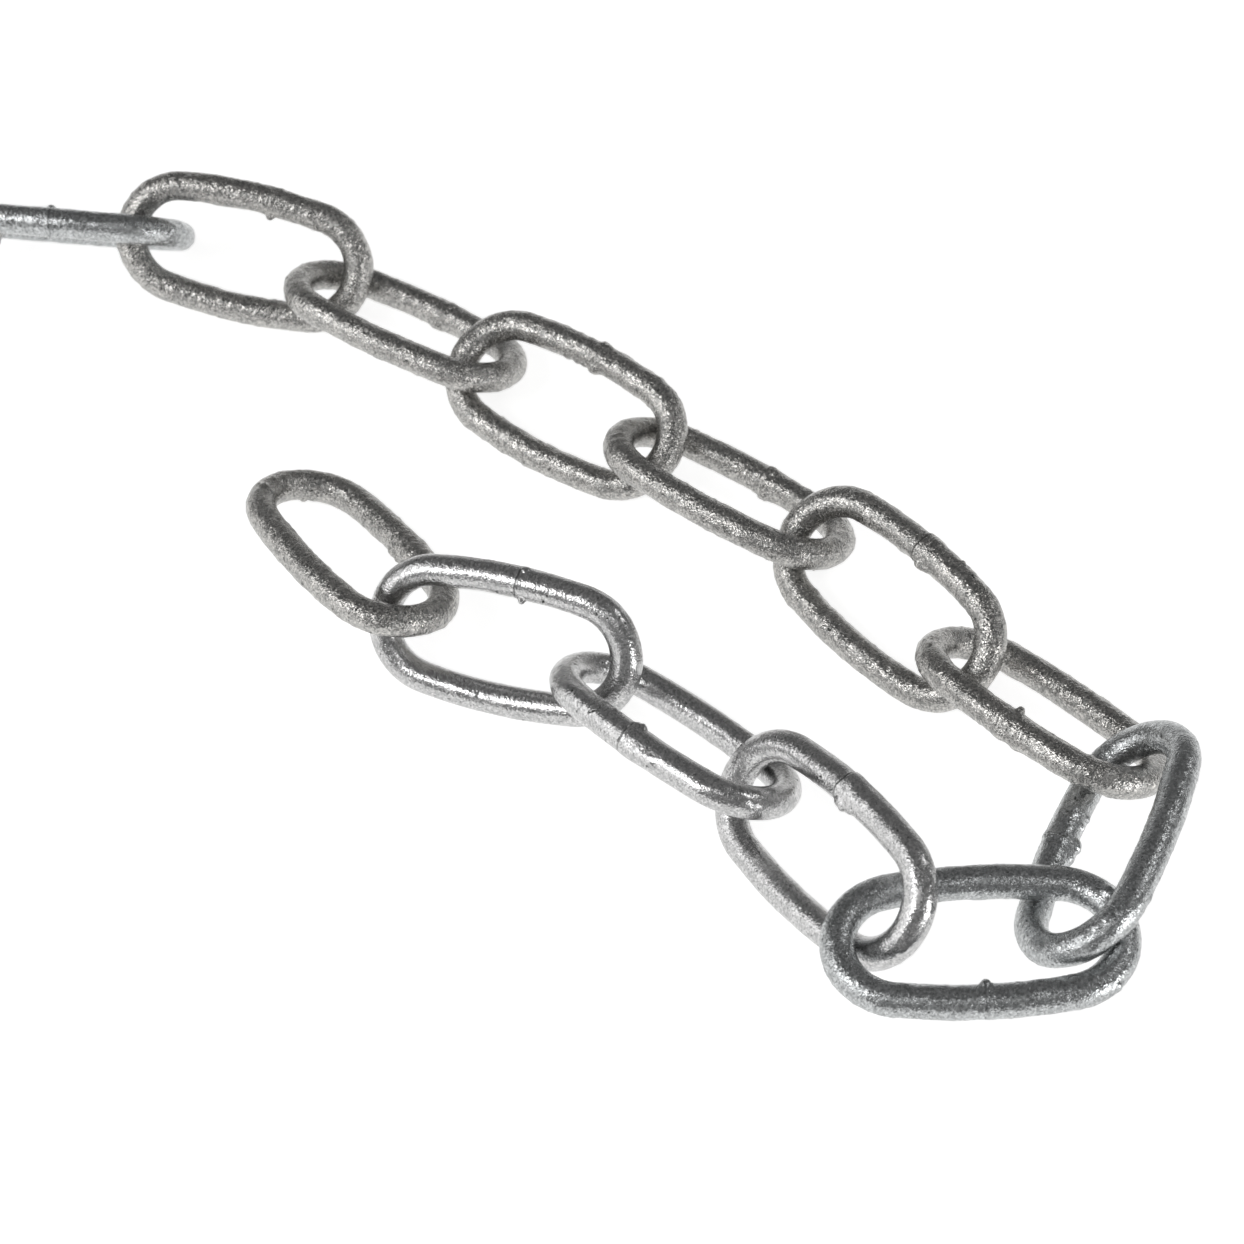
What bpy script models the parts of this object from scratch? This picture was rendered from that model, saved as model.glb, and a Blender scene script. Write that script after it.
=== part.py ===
"""A length of welded, hot-dip galvanised long-link chain, laid in an open U on a level floor.

Each link is one round wire bent to a long oval and butt-welded in one side. The links hang in one another
with a small gap, in the lay that the chain has on the floor: the first link is the free end of the U, and the
last one is the other end of the length.
"""

import math

import bpy
import numpy as np
from mathutils import Matrix, Vector

# Driving dimensions of a link, in metres
WIRE = 0.006
INNER_LENGTH = 0.042
OUTER_WIDTH = 0.029
BOW_RADIUS = 0.0105
WELD_LENGTH = 0.0024
WELD_HEIGHT = 0.0004

# Between the wires of two links that touch
GAP = 0.0003

# How finely the wire is cut: sides of its section, and stretches of a round end. The distance between two
# wires is measured from points between the rings, and a link is placed in so many halvings.
SIDES = 12
BOW_STRETCHES = 6
POINTS_BETWEEN_RINGS = 8
PLACING_STEPS = 20

# Edges sharper than this show as edges, in degrees
SHARP_EDGE = 50

# The zinc: its colour and how rough it is
ZINC_COLOUR = (0.32, 0.33, 0.34, 1)
ZINC_ROUGHNESS = 0.42

# Places of the plain rings along a side, and where the flash of the weld starts, as shares and metres
SIDE_SHARE = 0.2
WELD_FOOT = 1.4 * WELD_LENGTH

# The lay of the links in view, from the free end: heading, pitch and lean of the link, the bearing on which
# it is pulled from the link before, all in whole degrees, how high its lowest point lies, in metres, and the
# side that is welded, 1 for the left one. A few links of the turn lie on the wires of their neighbours.
LAY = (
    (-54, 9, -22, 0, 0.0, 1),
    (-19, 6, 53, -42, 0.0, 1),
    (-43, 6, -34, -32, 0.0, -1),
    (-54, 12, 49, -39, 0.0, 1),
    (1, 4, 1, -67, 0.0125, -1),
    (66, -1, -44, 57, 0.007, 1),
    (134, -7, 29, 110, 0.001, 1),
    (131, -2, -40, 144, 0.0, -1),
    (147, 3, 27, 134, 0.0, -1),
    (146, 0, -30, 142, 0.0, -1),
    (151, 3, 26, 144, 0.0, -1),
    (168, 6, -49, 140, 0.0, -1),
    (175, 1, 49, 161, 0.0, 1),
)

# The rest of the length goes on in one easy curve: the turn from link to link, and the lean, to one side and
# the other by turns
REST_LINKS = 11
REST_TURN = 9
REST_LEAN = 42

HALF_LENGTH = (INNER_LENGTH + WIRE) / 2
HALF_WIDTH = (OUTER_WIDTH - WIRE) / 2
HOOK_TO_TIP = WIRE + GAP

# How far apart the middles of two hooked round ends can be: a link well on its side hooks most loosely
LOOSEST_HOOK = 0.7 * BOW_RADIUS
TIGHTEST_HOOK = 2 * BOW_RADIUS


def side_arc():
    """Radius and half angle of the slightly barrelled side: the arc that is tangent to both round ends."""
    bow_centre = HALF_LENGTH - BOW_RADIUS
    radius = (bow_centre**2 + HALF_WIDTH**2 - BOW_RADIUS**2) / (2 * (HALF_WIDTH - BOW_RADIUS))
    return radius, math.asin(bow_centre / (radius - BOW_RADIUS))


def bow_points(stretches):
    """Points and outward directions along the round end at +X, from the right side to the left side."""
    half_angle = math.pi / 2 - side_arc()[1]
    angle = np.linspace(-half_angle, half_angle, stretches + 1)
    out = np.stack([np.cos(angle), np.sin(angle)], 1)
    return out * BOW_RADIUS + [HALF_LENGTH - BOW_RADIUS, 0], out


def side_points(places):
    """The same along the left side, at places given as distances from its middle, towards +X positive."""
    radius, _ = side_arc()
    angle = np.asarray(places) / radius
    out = np.stack([np.sin(angle), np.cos(angle)], 1)
    return out * radius - [0, radius - HALF_WIDTH], out


def link_rings(weld_side):
    """Centres, outward directions and radii of the rings round a link, which has its flash on one side."""
    radius, half_angle = side_arc()
    plain = 2 * radius * half_angle * SIDE_SHARE
    plain_places = np.array([plain, -plain])
    weld_places = np.array([plain, WELD_FOOT, WELD_LENGTH / 2, -WELD_LENGTH / 2, -WELD_FOOT, -plain])
    flash = np.array([0, 0, WELD_HEIGHT, WELD_HEIGHT, 0, 0])
    centres, outs, radii = [], [], []
    for turn in (1, -1):
        bow, bow_out = bow_points(BOW_STRETCHES)
        welded = weld_side == turn
        side, side_out = side_points(weld_places if welded else plain_places)
        centres += [turn * bow, turn * side]
        outs += [turn * bow_out, turn * side_out]
        radii += [np.zeros(len(bow)), flash if welded else np.zeros(len(side))]
    return np.concatenate(centres), np.concatenate(outs), np.concatenate(radii) + WIRE / 2


def centre_line():
    """The closed line through the middles of a link's rings, with more points between them."""
    centres = link_rings(1)[0][:, None]
    share = np.linspace(0, 1, POINTS_BETWEEN_RINGS, endpoint=False)[None, :, None]
    return (centres * (1 - share) + np.roll(centres, -1, axis=0) * share).reshape(-1, 2)


def link_vertices(weld_side):
    """The section's corners round each ring. The origin is the point in the near end where the neighbour's
    wire runs through, and the link lies in its own XY plane with its length along +X."""
    centres, outs, radii = link_rings(weld_side)
    corner = (np.arange(SIDES) + 0.5) * 2 * math.pi / SIDES
    across = np.cos(corner)[None, :, None] * np.pad(outs, ((0, 0), (0, 1)))[:, None, :]
    up = np.sin(corner)[None, :, None] * np.array([0, 0, 1.0])
    rings = np.pad(centres, ((0, 0), (0, 1)))[:, None, :] + (across + up) * radii[:, None, None]
    return rings + [HALF_LENGTH - HOOK_TO_TIP, 0, 0]


def link_mesh(name, weld_side):
    rings = link_vertices(weld_side)
    count = len(rings)
    ring, side = np.meshgrid(np.arange(count), np.arange(SIDES), indexing="ij")
    after, beside = (ring + 1) % count, (side + 1) % SIDES
    corners = [(ring, side), (after, side), (after, beside), (ring, beside)]
    faces = np.stack([at * SIDES + corner for at, corner in corners], -1)
    mesh = bpy.data.meshes.new(name)
    mesh.from_pydata(rings.reshape(-1, 3).tolist(), [], faces.reshape(-1, 4).tolist())
    mesh.shade_smooth()
    mesh.set_sharp_from_angle(angle=math.radians(SHARP_EDGE))
    return mesh


def turned(heading, pitch, lean):
    """Rotation of a link: its length points along heading and pitch, and its left side is lifted by lean."""
    yaw, rise, roll = (math.radians(angle) for angle in (heading, pitch, lean))
    return Matrix.Rotation(yaw, 3, "Z") @ Matrix.Rotation(-rise, 3, "Y") @ Matrix.Rotation(roll, 3, "X")


def full_lay():
    """The lay of every link: the links in view, then the rest, each heading a little further to the left."""
    rows = list(LAY)
    for number in range(REST_LINKS):
        heading = rows[-1][0] + REST_TURN
        bearing = (rows[-1][0] + heading) / 2
        lean = REST_LEAN if number % 2 else -REST_LEAN
        rows.append((heading, 0, lean, bearing, 0.0, -rows[-1][5]))
    return rows


def nearest(first, second):
    """The least distance between two lines, each given as points."""
    return np.linalg.norm(first[:, None] - second[None], axis=2).min()


def hooked_place(before, line, near_bow, bearing):
    """Where a link goes so that its wire and the wire of the link before are one gap apart. Its near end
    starts over the far end of the link before, and is pulled along the bearing until the wires catch."""
    pull = np.array([math.cos(math.radians(bearing)), math.sin(math.radians(bearing)), 0])
    start = (before["far_bow"] - near_bow) * [1, 1, 0]
    low, high = LOOSEST_HOOK, TIGHTEST_HOOK
    for _ in range(PLACING_STEPS):
        middle = (low + high) / 2
        if nearest(before["line"], line + start + pull * middle) > WIRE + GAP:
            low = middle
        else:
            high = middle
    return start + pull * low


def lay_links():
    """Place and rotation of every link, each hung in the one before it and lying at its own height."""
    line = np.pad(centre_line(), ((0, 0), (0, 1))) + [HALF_LENGTH - HOOK_TO_TIP, 0, 0]
    near_bow = np.array([BOW_RADIUS - HOOK_TO_TIP, 0, 0])
    far_bow = np.array([2 * HALF_LENGTH - HOOK_TO_TIP - BOW_RADIUS, 0, 0])
    placed = []
    for heading, pitch, lean, bearing, height, weld_side in full_lay():
        rotation = np.array(turned(heading, pitch, lean))
        corners = link_vertices(weld_side).reshape(-1, 3) @ rotation.T
        lift = np.array([0, 0, height - corners[:, 2].min()])
        turned_line = line @ rotation.T + lift
        place = lift
        if placed:
            place = lift + hooked_place(placed[-1], turned_line, near_bow @ rotation.T, bearing)
        placed.append({
            "place": place,
            "rotation": rotation,
            "weld_side": weld_side,
            "line": line @ rotation.T + place,
            "far_bow": far_bow @ rotation.T + place,
            "corners": corners + place,
        })
    return placed


def galvanised_steel():
    """Hot-dip galvanised steel: dull zinc, grey and a little rough."""
    material = bpy.data.materials.new("galvanised_steel")
    material.use_nodes = True
    shader = material.node_tree.nodes["Principled BSDF"]
    shader.inputs["Base Color"].default_value = ZINC_COLOUR
    shader.inputs["Metallic"].default_value = 1
    shader.inputs["Roughness"].default_value = ZINC_ROUGHNESS
    return material


def make_chain():
    placed = lay_links()
    corners = np.concatenate([link["corners"] for link in placed])
    low, high = corners.min(axis=0), corners.max(axis=0)
    middle = np.array([(low[0] + high[0]) / 2, (low[1] + high[1]) / 2, low[2]])
    finish = galvanised_steel()
    holder = bpy.data.objects.new("chain", None)
    bpy.context.collection.objects.link(holder)
    for number, link in enumerate(placed, 1):
        name = f"link_{number:02d}"
        mesh = link_mesh(name, link["weld_side"])
        mesh.materials.append(finish.copy())
        obj = bpy.data.objects.new(name, mesh)
        place = Matrix.Translation(Vector(link["place"] - middle))
        obj.matrix_world = place @ Matrix(link["rotation"].tolist()).to_4x4()
        obj.parent = holder
        bpy.context.collection.objects.link(obj)


def clear_scene():
    for obj in list(bpy.data.objects):
        bpy.data.objects.remove(obj)


clear_scene()
make_chain()
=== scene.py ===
"""Looks of a length of hot-dip galvanised long-link chain, laid in an open U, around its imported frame."""

import math

import bpy
import numpy as np
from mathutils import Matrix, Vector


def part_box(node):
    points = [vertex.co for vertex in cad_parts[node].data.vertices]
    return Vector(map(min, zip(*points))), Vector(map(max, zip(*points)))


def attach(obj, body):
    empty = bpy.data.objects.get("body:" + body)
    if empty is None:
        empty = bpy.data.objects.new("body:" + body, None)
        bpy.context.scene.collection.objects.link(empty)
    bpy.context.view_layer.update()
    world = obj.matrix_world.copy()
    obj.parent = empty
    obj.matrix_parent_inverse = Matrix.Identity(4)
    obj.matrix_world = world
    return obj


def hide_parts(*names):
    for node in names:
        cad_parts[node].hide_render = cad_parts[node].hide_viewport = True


bl_info = {
    "name": "Galvanised long-link chain",
    "version": (1, 0, 0),
    "blender": (4, 5, 0),
    "location": "View3D > Sidebar > Chain",
    "description": "Makes the zinc-coated links of a chain and the stage they are shown on",
    "category": "Object",
}

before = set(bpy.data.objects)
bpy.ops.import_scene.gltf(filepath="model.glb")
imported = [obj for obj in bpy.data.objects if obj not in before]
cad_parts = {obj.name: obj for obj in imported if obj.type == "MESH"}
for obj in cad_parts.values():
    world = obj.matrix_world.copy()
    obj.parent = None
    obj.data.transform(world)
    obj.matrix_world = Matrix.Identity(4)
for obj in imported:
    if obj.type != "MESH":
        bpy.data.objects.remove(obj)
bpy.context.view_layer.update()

LINKS = sorted(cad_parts)

MM = 0.001

# The links that the photograph shows are made finely, the others more coarsely: points along and round the
# wire. The rings lie closer together at the weld: so many times more of them, over so many mm.
FINE_GRID = (400, 72)
COARSE_GRID = (220, 36)
LINKS_IN_VIEW = 13
WELD_RINGS = 2.5
WELD_RINGS_REACH = 4.0
RING_SEARCH_POINTS = 8001

# Three states of the coating, from smooth and bright to grainy and a little brownish
SMOOTH, PLAIN, GRAINY = "smooth", "plain", "grainy"
COATING = {name: GRAINY for name in LINKS}
COATING.update({"link_02": SMOOTH, "link_03": SMOOTH, "link_04": SMOOTH})
COATING.update({"link_05": PLAIN, "link_06": PLAIN, "link_13": PLAIN})

# What each state has. Uneven and fine: its share of the unevenness and of the grain and blobs. Grain: height
# of its finest grain in metres. Middle and spread: where the patterns turn from bright to dull crystals.
# Hollow shade: how dark the low places of the grain are painted, as painted shade. Tilt: how far the crystals
# lean, as a slope.
ZINC_FIELDS = ("uneven", "fine", "grain", "roughness", "middle", "spread", "hollow_shade", "tilt")
ZINC = {
    SMOOTH: (0.5, 0.25, 0.00003, 0.16, 0.6, 0.36, 0.35, 0.1),
    PLAIN: (0.8, 0.6, 0.00005, 0.18, 0.5, 0.32, 0.5, 0.17),
    GRAINY: (1.0, 1.0, 0.00007, 0.18, 0.5, 0.28, 0.6, 0.22),
}

# Relief of the coating, each noise with its cell in mm and its share of the height: unevenness, and grain.
# Blobs stand where a noise is above a level.
UNEVENNESS = ((5.0, 1.0), (2.2, 0.5))
GRAINS = ((1.1, 1.0), (0.6, 0.7))
BLOB_CELL = 1.3
BLOB_LEVEL = 0.4
BLOB_HEIGHT = 0.18

# The weld of each link, in mm. Place: where it is along the wire, from the middle of the welded side
# towards the next link. Ridge and width: the flash round the wire. Wander: how far the seam strays along
# the wire. Groove: how deep the seam is. Step: how much thicker the wire is beyond the seam, towards the
# next link, or towards the link before where it is negative, and fade: over what length that dies out.
# Seam shade and grime: how dark the seam is painted, as a share: painted shade in its groove, with grime.
WELD_FIELDS = ("place", "ridge", "width", "wander", "groove", "step", "fade", "seam_shade_and_grime")
WELDS = {
    "link_01": (2.9, 0.05, 0.4, 0.5, 0.08, 0.18, 7, 0.3),
    "link_02": (2.0, 0.14, 0.3, 0.1, 0.12, 0.05, 4, 0.8),
    "link_03": (-1.6, 0.06, 0.5, 0.2, 0.24, 0.10, 6, 0.6),
    "link_04": (-1.8, 0.10, 0.6, 0.5, 0.26, 0.26, 4, 0.9),
    "link_05": (0.0, 0.09, 0.7, 0.3, 0.05, 0.05, 4, 0.35),
    "link_06": (1.2, 0.10, 0.9, 0.5, 0.06, -0.20, 4, 0.3),
    "link_07": (0.2, 0.05, 0.9, 0.5, 0.06, -0.16, 6, 0.2),
    "link_08": (0.2, 0.08, 0.5, 0.5, 0.22, -0.22, 5, 0.85),
    "link_09": (-2.6, 0.08, 0.8, 0.4, 0.10, -0.05, 4, 0.3),
    "link_10": (-1.8, 0.08, 0.8, 0.4, 0.05, 0.05, 4, 0.2),
    "link_11": (-3.5, 0.06, 0.8, 0.4, 0.06, -0.05, 4, 0.2),
    "link_12": (-3.5, 0.10, 0.8, 0.4, 0.08, -0.05, 4, 0.3),
}
OTHER_WELD = (0.0, 0.12, 0.7, 0.4, 0.10, 0.12, 5, 0.5)

# The same at every weld, in mm: half the rise of the step, and the widths of the groove and of the seam's
# painted shade and grime. Then the cells of the noises that move the seam and make the weld uneven, in radii
# of the wire, and the least and the middle share of its relief that the unevenness leaves.
STEP_RISE = 0.12
GROOVE_WIDTH = 0.16
SEAM_SHADE_AND_GRIME_WIDTH = 0.22
SEAM_CELL = 0.8
UNEVEN_CELL = 0.6
LEAST_WELD = 0.4
MIDDLE_WELD = 0.8

# Lumps of zinc and of weld metal: place along the wire in mm, as for the welds, angle round it in degrees
# (0 outside, 90 above, 180 inside, -90 below), radius in mm and height in mm
LUMPS = {
    "link_01": ((0.9, -152, 0.9, 0.50), (2.6, -152, 1.1, 0.50), (-37.9, 82, 0.9, 0.25),
                (-26.9, -140, 0.9, 0.50), (-24.4, -148, 1.3, 0.20)),
    "link_02": ((3.0, 18, 0.9, 0.45), (3.2, 150, 0.72, 0.90), (-56.6, 105, 0.5, 0.15)),
    "link_03": ((-1.0, 102, 1.0, 0.42), (0.2, 100, 0.7, 0.55), (0.5, -25, 1.8, 0.20), (2.9, -15, 1.8, 0.20),
                (5.0, -6, 1.5, 0.22), (-6.6, 95, 0.6, 0.20), (-9.5, 95, 0.6, 0.12)),
    "link_04": ((0.0, 25, 1.8, 0.25), (0.1, 142, 1.3, 0.70), (1.8, 142, 1.3, 0.45), (21.0, 12, 0.6, 0.25),
                (32.8, 32, 0.8, 0.25)),
    "link_05": ((0.0, 135, 0.95, 0.70), (-0.7, 15, 1.2, 0.15), (37.1, 78, 1.2, 0.50), (20.8, 12, 0.9, 0.25)),
    "link_06": ((1.4, 68, 1.0, 0.25), (1.7, -146, 1.3, 0.85), (-0.9, -146, 1.5, 0.50), (7.8, -150, 0.7, 0.28),
                (5.6, -158, 0.7, 0.28), (-46.9, -35, 1.0, 0.20), (-35.5, -8, 0.8, 0.20)),
    "link_07": ((-1.6, 103, 0.78, 1.05), (-0.6, -32, 1.7, 0.35), (-4.2, -38, 1.4, 0.25),
                (-6.6, -10, 1.3, 0.15), (-9.3, -20, 1.2, 0.25)),
    "link_08": ((-2.0, 155, 1.1, 0.70), (-3.7, 152, 0.9, 0.35), (-2.0, 15, 1.7, 0.22), (-8.4, 15, 0.5, 0.40),
                (47.1, 175, 0.9, 0.25)),
    "link_09": ((-3.6, 88, 1.5, 0.30), (-4.0, -137, 1.2, 0.62), (-5.5, -140, 1.0, 0.20)),
    "link_10": ((-2.2, 25, 1.3, 0.35), (-2.1, 166, 1.4, 0.75), (4.4, 170, 0.8, 0.30), (2.1, 170, 0.8, 0.30),
                (0.4, 170, 0.7, 0.25), (-1.6, 88, 1.1, 0.20), (47.3, 140, 0.7, 0.20)),
    "link_11": ((-4.2, 92, 1.2, 0.28), (-2.9, -135, 1.4, 0.42)),
    "link_12": ((-4.2, 155, 0.9, 0.85), (-4.0, 60, 0.9, 0.25)),
}
OTHER_LUMPS = ((0.3, 100, 0.9, 0.45), (0.2, -150, 1.1, 0.45), (-24.0, 20, 0.8, 0.25))

# Where the links rub in one another, inside their round ends, the coating is worn smooth: by what share, how
# far along the wire from the end's middle in mm, and how far round it from the inside in degrees
RUBBED = 0.85
RUBBED_LENGTH = 9.0
RUBBED_ANGLE = 75

# A point of a link's solid is in a round end where it is further out than this share of half its length
BOW_SHARE = 0.75

# Lattice noise: how many random values it has, and the factors that mix a corner's three numbers
NOISE_VALUES = 8192
NOISE_FACTORS = (73856093, 19349663, 83492791)

# Patterns of the zinc, in cells per metre. Grain of 0.33 mm, mottling of 4 mm, and crystals of 0.37 mm, which
# on the real coating are finer than that and are drawn as coarse as they need to be to show; pits of 0.5 mm,
# where a noise of 1 mm comes to its peaks.
GRAIN_SCALE = 3000.0
MOTTLE_SCALE = 260.0
CRYSTAL_SCALE = 2700.0
PIT_SCALE = 1000.0
PIT_DEPTH = 0.00005
CRYSTAL_SHARE = 0.65
GRAIN_SHARE = 0.4

# The lit table, its half width in metres and its glow
TABLE_REACH = 12.0
TABLE_GLOW = 0.8

# Strength of the studio's walls: at the horizon, and higher up in front and at the back, from this height on
HORIZON = 0.36
FRONT_WALL = 0.26
BACK_WALL = 0.16
WALL_TOP = 0.4

# Softboxes, which face one point: bearing from the front towards the right and elevation in degrees, distance
# and size in metres, and radiance
LIT_POINT = (0.13, 0.02, 0.0)
SOFTBOXES = (
    ("left_softbox", -78, 28, 1.25, 1.25, 1.2),
    ("left_lamp", -58, 44, 1.2, 0.4, 5.2),
    ("front_softbox", -4, 62, 1.2, 0.3, 2.0),
    ("right_softbox", 54, 12, 1.2, 0.5, 5.0),
    ("right_lamp", 104, 44, 1.2, 0.3, 3.0),
)

# The camera: its place in metres, how far below the horizontal and how far to the left it looks in degrees,
# and its sensor and lens in mm
CAMERA_PLACE = (0.157, -0.268, 0.426)
CAMERA_DOWN = 53
CAMERA_TURN = 0.36
SENSOR_WIDTH = 36.0
FOCAL_LENGTH = 80.94
F_NUMBER = 28.0


class ChainSizes(bpy.types.PropertyGroup):
    """Sizes of a link"""

    wire: bpy.props.FloatProperty(name="Wire", description="Diameter of the wire",
                                  default=0.006, min=0.002, subtype="DISTANCE")
    inner_length: bpy.props.FloatProperty(name="Pitch", description="Length of the opening of a link",
                                          default=0.042, min=0.01, subtype="DISTANCE")
    outer_width: bpy.props.FloatProperty(name="Width", description="Width of a link over the wires",
                                         default=0.029, min=0.01, subtype="DISTANCE")
    bow_radius: bpy.props.FloatProperty(name="Bow radius", description="Radius of the round ends, mid wire",
                                        default=0.0105, min=0.002, subtype="DISTANCE")
    waviness: bpy.props.FloatProperty(name="Waviness", description="How uneven the coating is over some mm",
                                      default=0.00011, min=0, subtype="DISTANCE")
    grain: bpy.props.FloatProperty(name="Grain", description="Height of the grains of the zinc",
                                   default=0.000065, min=0, subtype="DISTANCE")


class ChainFinish(bpy.types.PropertyGroup):
    """Colours of the coating and of the floor"""

    smooth_zinc: bpy.props.StringProperty(name="Smooth zinc", description="sRGB colour of bright crystals",
                                          default="#E2E1E1")
    plain_zinc: bpy.props.StringProperty(name="Plain zinc", description="sRGB colour of bright crystals",
                                         default="#EAECED")
    grainy_zinc: bpy.props.StringProperty(name="Grainy zinc", description="sRGB colour of bright crystals",
                                          default="#E3E0DC")
    zinc_dark: bpy.props.StringProperty(name="Dark zinc", description="sRGB colour of the dull crystals",
                                        default="#626565")
    # The pits' colour is also that of the painted shade in the grain's low places and, with grime, along the
    # weld's seam
    pit_and_painted_shade: bpy.props.StringProperty(name="Pits", description="sRGB colour of the dross and dirt in the pits",
                                  default="#363735")
    floor: bpy.props.StringProperty(name="Floor", description="sRGB colour of the floor", default="#CDCDCC")


def linear(hex_colour):
    """An sRGB hex value as linear RGBA: each channel c becomes c/12.92 below 0.04045, else
    ((c+0.055)/1.055)^2.4."""
    channels = [int(hex_colour[at:at + 2], 16) / 255 for at in (1, 3, 5)]
    return [c / 12.92 if c <= 0.04045 else ((c + 0.055) / 1.055) ** 2.4 for c in channels] + [1.0]


def add_node(tree, kind, inputs=None, links=None, **settings):
    """Adds a node with its settings, its input values and its links from other nodes' outputs."""
    node = tree.nodes.new(kind)
    for name, value in settings.items():
        setattr(node, name, value)
    for name, value in (inputs or {}).items():
        node.inputs[name].default_value = value
    for name, socket in (links or {}).items():
        tree.links.new(socket, node.inputs[name])
    return node


def lattice_noise(points, cell, seed):
    """Smooth noise from -1 to 1: random values at the corners of cubes of side cell, blended along each
    axis with weights 3f^2 - 2f^3."""
    table = np.random.default_rng(seed).uniform(-1, 1, NOISE_VALUES)
    mix = NOISE_FACTORS
    scaled = points / cell
    corner = np.floor(scaled).astype(np.int64)
    share = scaled - corner
    share = share * share * (3 - 2 * share)
    total = np.zeros(points.shape[:-1])
    for step in np.ndindex(2, 2, 2):
        at = corner + step
        key = (at[..., 0] * mix[0] ^ at[..., 1] * mix[1] ^ at[..., 2] * mix[2]) % NOISE_VALUES
        weight = np.prod(np.where(step, share, 1 - share), axis=-1)
        total += weight * table[key]
    return total


def layered_noise(points, layers, seed):
    """Lattice noises added up, each with its cell in mm and its share, and with seeds that follow."""
    return sum(share * lattice_noise(points, cell * MM, seed + number)
               for number, (cell, share) in enumerate(layers))


def half_round(sizes):
    """Half the length of the centre line of a link, and the reach, radius and half angle of its barrelled
    sides: each side is the arc that is tangent to both round ends."""
    half_length = (sizes.inner_length + sizes.wire) / 2
    half_width = (sizes.outer_width - sizes.wire) / 2
    bow = sizes.bow_radius
    reach = half_length - bow
    barrel = (reach**2 + half_width**2 - bow**2) / (2 * (half_width - bow))
    half_angle = math.asin(reach / (barrel - bow))
    return 2 * barrel * half_angle + bow * (math.pi - 2 * half_angle), reach, barrel, half_angle


def ring_places(half, count, dense_at):
    """Places of the rings along the wire: the number of rings per length is 1 + a exp(-(d/w)^2), d the
    distance from the weld, so each ring is where the running sum of that reaches its share."""
    fine = np.linspace(-half, half, RING_SEARCH_POINTS)
    density = 1 + WELD_RINGS * np.exp(-(((fine - dense_at) / (WELD_RINGS_REACH * MM)) ** 2))
    share = np.cumsum(density) / density.sum()
    return np.interp((np.arange(count) + 0.5) / count, share, fine)


def link_line(sizes, length):
    """Centre line of a link: points and outward directions at lengths along four arcs that meet smoothly,
    two round ends and two slightly barrelled sides. Length 0 is the middle of the side at +Y, from where
    the line runs towards +X; the second half is the first one turned by half a turn."""
    half, reach, barrel, half_angle = half_round(sizes)
    half_width = (sizes.outer_width - sizes.wire) / 2
    bow = sizes.bow_radius
    side_length = barrel * half_angle
    bow_length = bow * (math.pi - 2 * half_angle)
    length = length % (2 * half)
    turn = np.where(length < half, 1.0, -1.0)[:, None]
    length = length % half
    first = length / barrel
    round_end = math.pi / 2 - half_angle - (length - side_length) / bow
    last = (length - half) / barrel
    part = [(length < side_length)[:, None], (length < side_length + bow_length)[:, None]]
    out = np.select(
        part,
        [np.stack([np.sin(first), np.cos(first)], 1), np.stack([np.cos(round_end), np.sin(round_end)], 1)],
        np.stack([-np.sin(last), -np.cos(last)], 1),
    )
    centre = np.select(
        part,
        [out * barrel - [0, barrel - half_width], out * bow + [reach, 0]],
        out * barrel + [0, barrel - half_width],
    )
    return centre * turn, out * turn


def link_pose(name, neighbour):
    """Middle and axes of a link, found from its CAD node: +X runs along it to its next link, +Z is its
    plane's upward normal, and +Y is its left side. The axes are the principal directions of the node's
    points."""
    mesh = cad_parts[name].data
    points = np.zeros(len(mesh.vertices) * 3, np.float32)
    mesh.vertices.foreach_get("co", points)
    points = np.unique(np.round(points.reshape(-1, 3).astype(float), 7), axis=0)
    middle = points.mean(0)
    _, directions = np.linalg.eigh(np.cov((points - middle).T))
    along, up = directions[:, 2], directions[:, 0]
    onward, other = neighbour
    to_other = (np.array(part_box(other)[0]) + np.array(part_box(other)[1])) / 2 - middle
    along = along * np.sign(along @ to_other) * onward
    up = up * np.sign(up[2])
    left = np.cross(up, along)
    local = (points - middle) @ np.stack([along, left, up], 1)
    in_bows = np.abs(local[:, 0]) > BOW_SHARE * np.abs(local[:, 0]).max()
    middle = middle + left * local[in_bows, 1].mean()
    local_left = (points - middle) @ left
    weld_side = 1 if local_left.max() > -local_left.min() else -1
    return middle, np.stack([along, left, up]), weld_side


def ridge(place, width):
    """A ridge one high: exp of minus the square of place over width."""
    return np.exp(-((place / width) ** 2))


def weld_relief(weld, from_seam):
    """Relief of a weld over the distance from its seam, in mm: a ridge, less a narrow groove, plus a step
    that rises within some 0.2 mm and dies out as exp(-(d/fade)^2) beyond the seam."""
    beyond = from_seam * (1 if weld["step"] > 0 else -1)
    rise = 0.5 + 0.5 * np.tanh(beyond / STEP_RISE)
    step = abs(weld["step"]) * rise * ridge(np.maximum(beyond, 0), weld["fade"])
    groove = weld["groove"] * ridge(from_seam, GROOVE_WIDTH)
    return weld["ridge"] * ridge(from_seam, weld["width"]) - groove + step


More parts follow.
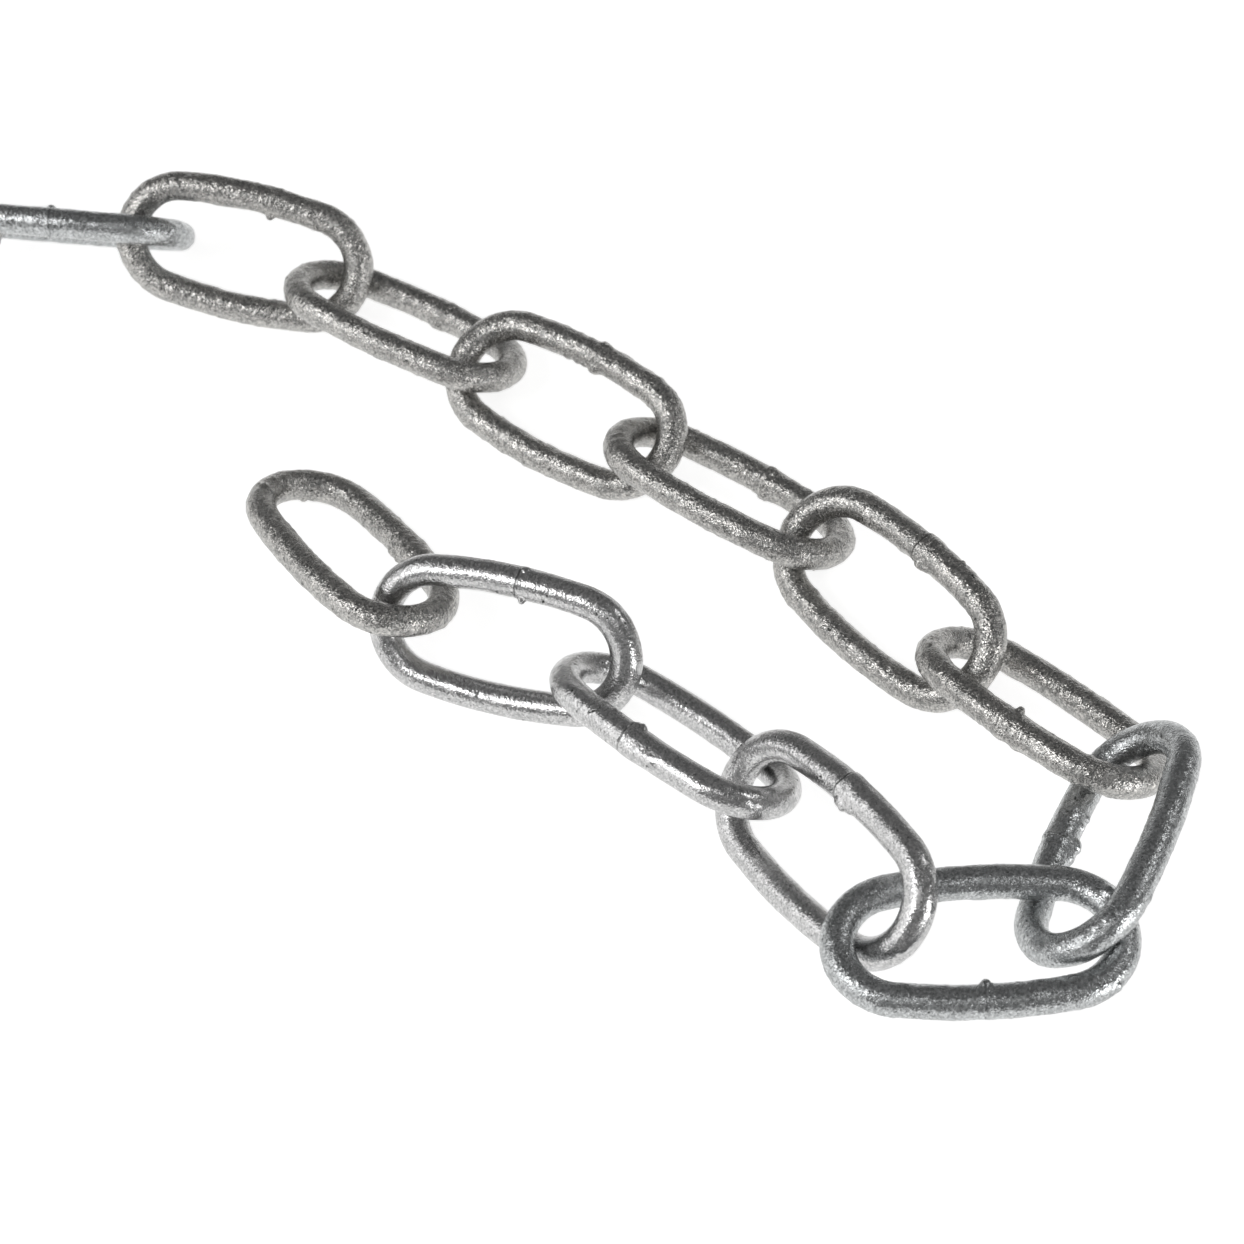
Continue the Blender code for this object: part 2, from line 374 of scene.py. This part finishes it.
def link_surface(name, sizes, grid, pose):
    """Points of a link: a circle of the wire's radius carried along the centre line, in which the radius
    varies with the place along the wire and the angle round it: unevenness and grain of the coating from
    lattice noise, less where the links rub, the relief of the weld, and lumps, each exp of minus the fourth
    power of the distance over its radius. With them comes the seam's painted shade and grime at each point."""
    middle, axes, weld_side = pose
    half = half_round(sizes)[0]
    weld = dict(zip(WELD_FIELDS, WELDS.get(name, OTHER_WELD)))
    place = ring_places(half, grid[0], weld["place"] * MM)[::weld_side]
    centre, out = link_line(sizes, place if weld_side == 1 else half - place)
    angle = np.arange(grid[1]) * 2 * math.pi / grid[1]
    out = np.pad(out, ((0, 0), (0, 1)))[:, None, :]
    centre = np.pad(centre, ((0, 0), (0, 1)))[:, None, :]
    spoke = np.cos(angle)[None, :, None] * out + np.sin(angle)[None, :, None] * np.array([0, 0, 1.0])
    plain = centre + spoke * sizes.wire / 2
    seed = int(name[-2:]) * 10
    zinc = dict(zip(ZINC_FIELDS, ZINC[COATING[name]]))
    relief = sizes.waviness * zinc["uneven"] * layered_noise(plain, UNEVENNESS, seed)
    relief = relief + sizes.grain * zinc["fine"] * layered_noise(plain, GRAINS, seed + 2)
    blobs = np.clip(lattice_noise(plain, BLOB_CELL * MM, seed + 4) - BLOB_LEVEL, 0, None)
    relief = relief + BLOB_HEIGHT * MM * zinc["fine"] * blobs / (1 - BLOB_LEVEL)
    from_bow = np.abs(np.abs(place) - half / 2) / (RUBBED_LENGTH * MM)
    from_inside = np.abs(np.angle(-np.exp(1j * angle))) / math.radians(RUBBED_ANGLE)
    rubbed = np.exp(-(from_bow**4))[:, None] * np.exp(-(from_inside**4))[None, :]
    radius = sizes.wire / 2 + relief * (1 - RUBBED * rubbed)

    def along_from(at):
        """Distance along the wire from a place in mm, the shorter way round the link."""
        return ((place / MM - at + half / MM) % (2 * half / MM) - half / MM)[:, None]

    seam = along_from(weld["place"]) - weld["wander"] * lattice_noise(spoke, SEAM_CELL, seed + 5)
    uneven = MIDDLE_WELD + (MIDDLE_WELD - LEAST_WELD) * lattice_noise(spoke, UNEVEN_CELL, seed + 6)
    radius = radius + MM * uneven * weld_relief(weld, seam)
    for at, lump_angle, lump_radius, height in LUMPS.get(name, OTHER_LUMPS):
        around = np.angle(np.exp(1j * (angle - math.radians(lump_angle))))[None, :] * sizes.wire / 2 / MM
        distance = np.hypot(along_from(at), around)
        radius = radius + MM * height * np.exp(-((distance / lump_radius) ** 4))
    points = centre + spoke * radius[..., None]
    # The second value darkens the colour at the seam: painted shade in its groove, with grime
    return points @ axes + middle, weld["seam_shade_and_grime"] * ridge(seam, SEAM_SHADE_AND_GRIME_WIDTH)


def tube_mesh(name, points, grime_and_painted_shade):
    """A closed tube: a grid of points that joins up in both directions, faces outwards, shaded smooth. The
    painted shade and grime of the seam is kept as an attribute of the points."""
    rings, corners = points.shape[:2]
    ring, corner = np.meshgrid(np.arange(rings), np.arange(corners), indexing="ij")
    after, beside = (ring + 1) % rings, (corner + 1) % corners
    order = [(ring, corner), (ring, beside), (after, beside), (after, corner)]
    quads = np.stack([at * corners + to for at, to in order], -1).reshape(-1, 4)
    mesh = bpy.data.meshes.new(name)
    mesh.vertices.add(rings * corners)
    mesh.vertices.foreach_set("co", points.astype(np.float32).ravel())
    mesh.loops.add(quads.size)
    mesh.loops.foreach_set("vertex_index", quads.astype(np.int32).ravel())
    mesh.polygons.add(len(quads))
    mesh.polygons.foreach_set("loop_start", np.arange(0, quads.size, 4, dtype=np.int32))
    mesh.update(calc_edges=True)
    mesh.shade_smooth()
    # The seam's painted shade, with grime, kept for the zinc's colour
    seam_grime_and_painted_shade = mesh.attributes.new("seam_grime_and_painted_shade", "FLOAT", "POINT")
    seam_grime_and_painted_shade.data.foreach_set("value", grime_and_painted_shade.astype(np.float32).ravel())
    obj = bpy.data.objects.new(name, mesh)
    bpy.context.scene.collection.objects.link(obj)
    return obj


def zinc_material(state, finish):
    """Hot-dip galvanised zinc on mild steel. Dipping leaves a dull grey metal of fine crystals that catch
    the light one by one, mottled over some mm, with small dark pits where dross and grime have stayed.
    Painted shade darkens the low places of the grain and, with grime, the weld's seam."""
    zinc = dict(zip(ZINC_FIELDS, ZINC[state]))
    light = {SMOOTH: finish.smooth_zinc, PLAIN: finish.plain_zinc, GRAINY: finish.grainy_zinc}[state]
    material = bpy.data.materials.new(f"galvanised_zinc_{state}")
    material.use_nodes = True
    tree = material.node_tree
    shader = tree.nodes["Principled BSDF"]
    shader.inputs["Metallic"].default_value = 1.0
    place = add_node(tree, "ShaderNodeTexCoord").outputs["Object"]

    grain = add_node(tree, "ShaderNodeTexNoise", {"Scale": GRAIN_SCALE, "Detail": 1.0, "Roughness": 0.5},
                     {"Vector": place})
    mottle = add_node(tree, "ShaderNodeTexNoise", {"Scale": MOTTLE_SCALE, "Detail": 4.0, "Roughness": 0.65},
                      {"Vector": place})
    crystal = add_node(tree, "ShaderNodeTexVoronoi", {"Scale": CRYSTAL_SCALE, "Randomness": 1.0},
                       {"Vector": place})
    pits = add_node(tree, "ShaderNodeTexNoise", {"Scale": PIT_SCALE, "Detail": 1.0}, {"Vector": place})

    # From bright crystals to dull ones, with painted shade in the grain's low places, dark pits, and painted
    # shade with grime along the weld's seam over them
    coarse = add_node(tree, "ShaderNodeMix", {0: CRYSTAL_SHARE},
                      {2: mottle.outputs["Fac"], 3: crystal.outputs["Color"]}, data_type="FLOAT")
    shade = add_node(tree, "ShaderNodeMix", {0: GRAIN_SHARE},
                     {2: coarse.outputs[0], 3: grain.outputs["Fac"]}, data_type="FLOAT")
    level = add_node(tree, "ShaderNodeMapRange",
                     {"From Min": zinc["middle"] - zinc["spread"],
                      "From Max": zinc["middle"] + zinc["spread"]},
                     {"Value": shade.outputs[0]})
    metal = add_node(tree, "ShaderNodeMix", {6: linear(light), 7: linear(finish.zinc_dark)},
                     {0: level.outputs[0]}, data_type="RGBA")
    pitted = add_node(tree, "ShaderNodeMapRange", {"From Min": 0.68, "From Max": 0.80},
                      {"Value": pits.outputs["Fac"]})
    # Painted shade: the low places of the grain are darkened in colour
    valley_shade = add_node(tree, "ShaderNodeMapRange",
                      {"From Min": 0.5, "From Max": 0.3, "To Min": 0.0, "To Max": zinc["hollow_shade"]},
                      {"Value": grain.outputs["Fac"]})
    # The pits, together with the painted shade of the grain's low places
    hollow = add_node(tree, "ShaderNodeMath", {}, {0: pitted.outputs[0], 1: valley_shade.outputs[0]},
                      operation="MAXIMUM")
    # Painted shade in the weld's groove, with grime, darkens the colour along the seam
    seam = add_node(tree, "ShaderNodeAttribute", attribute_name="seam_grime_and_painted_shade").outputs["Fac"]
    dull = add_node(tree, "ShaderNodeMath", {}, {0: hollow.outputs[0], 1: seam}, operation="MAXIMUM")
    colour = add_node(tree, "ShaderNodeMix", {7: linear(finish.pit_and_painted_shade)},
                      {0: dull.outputs[0], 6: metal.outputs[2]}, data_type="RGBA")
    tree.links.new(colour.outputs[2], shader.inputs["Base Color"])

    rough = add_node(tree, "ShaderNodeMapRange",
                     {"From Min": 0.3, "From Max": 0.7,
                      "To Min": zinc["roughness"] - 0.04, "To Max": zinc["roughness"] + 0.14},
                     {"Value": mottle.outputs["Fac"]})
    tree.links.new(rough.outputs[0], shader.inputs["Roughness"])

    # Each crystal is a facet with a tilt of its own
    sideways = add_node(tree, "ShaderNodeVectorMath", {1: (0.5, 0.5, 0.5)}, {0: crystal.outputs["Color"]},
                        operation="SUBTRACT")
    normal = add_node(tree, "ShaderNodeNewGeometry").outputs["Normal"]
    facet = add_node(tree, "ShaderNodeVectorMath", {1: (zinc["tilt"],) * 3},
                     {0: sideways.outputs[0], 2: normal}, operation="MULTIPLY_ADD")
    upright = add_node(tree, "ShaderNodeVectorMath", {}, {0: facet.outputs[0]}, operation="NORMALIZE")
    grain_bump = add_node(tree, "ShaderNodeBump", {"Strength": 1.0, "Distance": zinc["grain"] * 2},
                          {"Height": grain.outputs["Fac"], "Normal": upright.outputs[0]})
    pit_bump = add_node(tree, "ShaderNodeBump", {"Strength": 1.0, "Distance": PIT_DEPTH},
                        {"Height": pitted.outputs[0], "Normal": grain_bump.outputs["Normal"]}, invert=True)
    tree.links.new(pit_bump.outputs["Normal"], shader.inputs["Normal"])
    return material


class CHAIN_OT_links(bpy.types.Operator):
    """Makes the links, each a swept wire with its weld and its zinc, in the place of its CAD node"""

    bl_idname = "chain.links"
    bl_label = "Links"

    def execute(self, context):
        sizes = context.scene.chain_sizes
        finish = context.scene.chain_finish
        materials = {state: zinc_material(state, finish) for state in (SMOOTH, PLAIN, GRAINY)}
        for number, name in enumerate(LINKS):
            last = number == len(LINKS) - 1
            neighbour = (-1, LINKS[number - 1]) if last else (1, LINKS[number + 1])
            grid = FINE_GRID if number < LINKS_IN_VIEW else COARSE_GRID
            # With the points comes the seam's painted shade and grime, a darkening for the zinc's colour
            points, grime_and_painted_shade = link_surface(name, sizes, grid, link_pose(name, neighbour))
            link = tube_mesh(f"zinc_{name}", points, grime_and_painted_shade)
            link.data.materials.append(materials[COATING[name]])
            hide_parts(name)
            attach(link, name)
        return {"FINISHED"}


def lit_table(finish):
    """The floor: opal acrylic of a table lit from below, which all but hides the shadows."""
    reach = TABLE_REACH
    mesh = bpy.data.meshes.new("floor")
    mesh.from_pydata([(-reach, -reach, 0), (reach, -reach, 0), (reach, reach, 0), (-reach, reach, 0)], [],
                     [(0, 1, 2, 3)])
    floor = bpy.data.objects.new("floor", mesh)
    bpy.context.scene.collection.objects.link(floor)
    acrylic = bpy.data.materials.new("opal_acrylic")
    acrylic.use_nodes = True
    shader = acrylic.node_tree.nodes["Principled BSDF"]
    shader.inputs["Base Color"].default_value = linear(finish.floor)
    shader.inputs["Roughness"].default_value = 0.9
    shader.inputs["Specular IOR Level"].default_value = 0.1
    shader.inputs["Emission Color"].default_value = (1, 1, 1, 1)
    shader.inputs["Emission Strength"].default_value = TABLE_GLOW
    mesh.materials.append(acrylic)
    return floor


def studio_world():
    """White walls that are brightest at the horizon, and above it darker towards the back."""
    world = bpy.data.worlds.new("studio")
    world.use_nodes = True
    sky = world.node_tree
    direction = add_node(sky, "ShaderNodeTexCoord").outputs["Generated"]
    part = add_node(sky, "ShaderNodeSeparateXYZ", {}, {"Vector": direction})
    upper = add_node(sky, "ShaderNodeMapRange",
                     {"From Min": -1.0, "From Max": 1.0, "To Min": FRONT_WALL, "To Max": BACK_WALL},
                     {"Value": part.outputs["Y"]})
    fall = add_node(sky, "ShaderNodeMapRange", {"From Min": 0.0, "From Max": WALL_TOP, "To Min": HORIZON},
                    {"Value": part.outputs["Z"], "To Max": upper.outputs[0]},
                    interpolation_type="SMOOTHSTEP")
    sky.links.new(fall.outputs[0], sky.nodes["Background"].inputs["Strength"])
    sky.nodes["Background"].inputs["Color"].default_value = (1.0, 1.0, 1.0, 1)
    return world


def aimed(direction):
    """Euler angles of a lamp that faces along direction: tilt from straight down, then turn about the
    vertical."""
    across = math.hypot(direction[0], direction[1])
    tilt = math.atan2(across, -direction[2])
    turn = math.atan2(-direction[0], direction[1])
    return tilt, 0.0, turn


def softbox(label, bearing, elevation, distance, size, radiance):
    """A square lamp that faces the lit point. Its power is pi times its area times its radiance."""
    light = bpy.data.lights.new(label, "AREA")
    light.shape = "SQUARE"
    light.size = size
    light.energy = radiance * math.pi * size**2
    lamp = bpy.data.objects.new(label, light)
    turn, rise = math.radians(bearing), math.radians(elevation)
    offset = distance * np.array([math.cos(rise) * math.sin(turn), -math.cos(rise) * math.cos(turn),
                                  math.sin(rise)])
    lamp.location = offset + LIT_POINT
    lamp.rotation_euler = aimed(-offset)
    bpy.context.scene.collection.objects.link(lamp)


def photo_camera(floor):
    """The camera at the photograph's view. As in the photograph, the lens is focused on the middle of the
    chain, where the floor has its origin."""
    data = bpy.data.cameras.new("camera")
    data.sensor_width = SENSOR_WIDTH
    data.lens = FOCAL_LENGTH
    data.clip_start = 0.01
    data.dof.use_dof = True
    data.dof.focus_object = floor
    data.dof.aperture_fstop = F_NUMBER
    camera = bpy.data.objects.new("camera", data)
    camera.location = CAMERA_PLACE
    camera.rotation_euler = (math.radians(90 - CAMERA_DOWN), 0, math.radians(CAMERA_TURN))
    bpy.context.scene.collection.objects.link(camera)
    return camera


class CHAIN_OT_stage(bpy.types.Operator):
    """Makes the lit table the chain lies on, the soft light and the camera at the photograph's view"""

    bl_idname = "chain.stage"
    bl_label = "Stage"

    def execute(self, context):
        scene = context.scene
        floor = lit_table(scene.chain_finish)
        scene.world = studio_world()
        scene.view_settings.view_transform = "Standard"
        for row in SOFTBOXES:
            softbox(*row)
        scene.camera = photo_camera(floor)
        return {"FINISHED"}


class CHAIN_PT_panel(bpy.types.Panel):
    """Lists the parts of the chain's looks"""

    bl_label = "Chain"
    bl_space_type = "VIEW_3D"
    bl_region_type = "UI"
    bl_category = "Chain"

    def draw(self, context):
        for group in (context.scene.chain_sizes, context.scene.chain_finish):
            for name in group.__annotations__:
                self.layout.prop(group, name)
        for operator in (CHAIN_OT_links, CHAIN_OT_stage):
            self.layout.operator(operator.bl_idname)


CLASSES = (ChainSizes, ChainFinish, CHAIN_OT_links, CHAIN_OT_stage, CHAIN_PT_panel)


def register():
    for cls in CLASSES:
        bpy.utils.register_class(cls)
    bpy.types.Scene.chain_sizes = bpy.props.PointerProperty(type=ChainSizes)
    bpy.types.Scene.chain_finish = bpy.props.PointerProperty(type=ChainFinish)


def unregister():
    del bpy.types.Scene.chain_finish
    del bpy.types.Scene.chain_sizes
    for cls in reversed(CLASSES):
        bpy.utils.unregister_class(cls)


def main():
    register()
    bpy.ops.chain.links()
    bpy.ops.chain.stage()


if __name__ == "__main__":
    main()
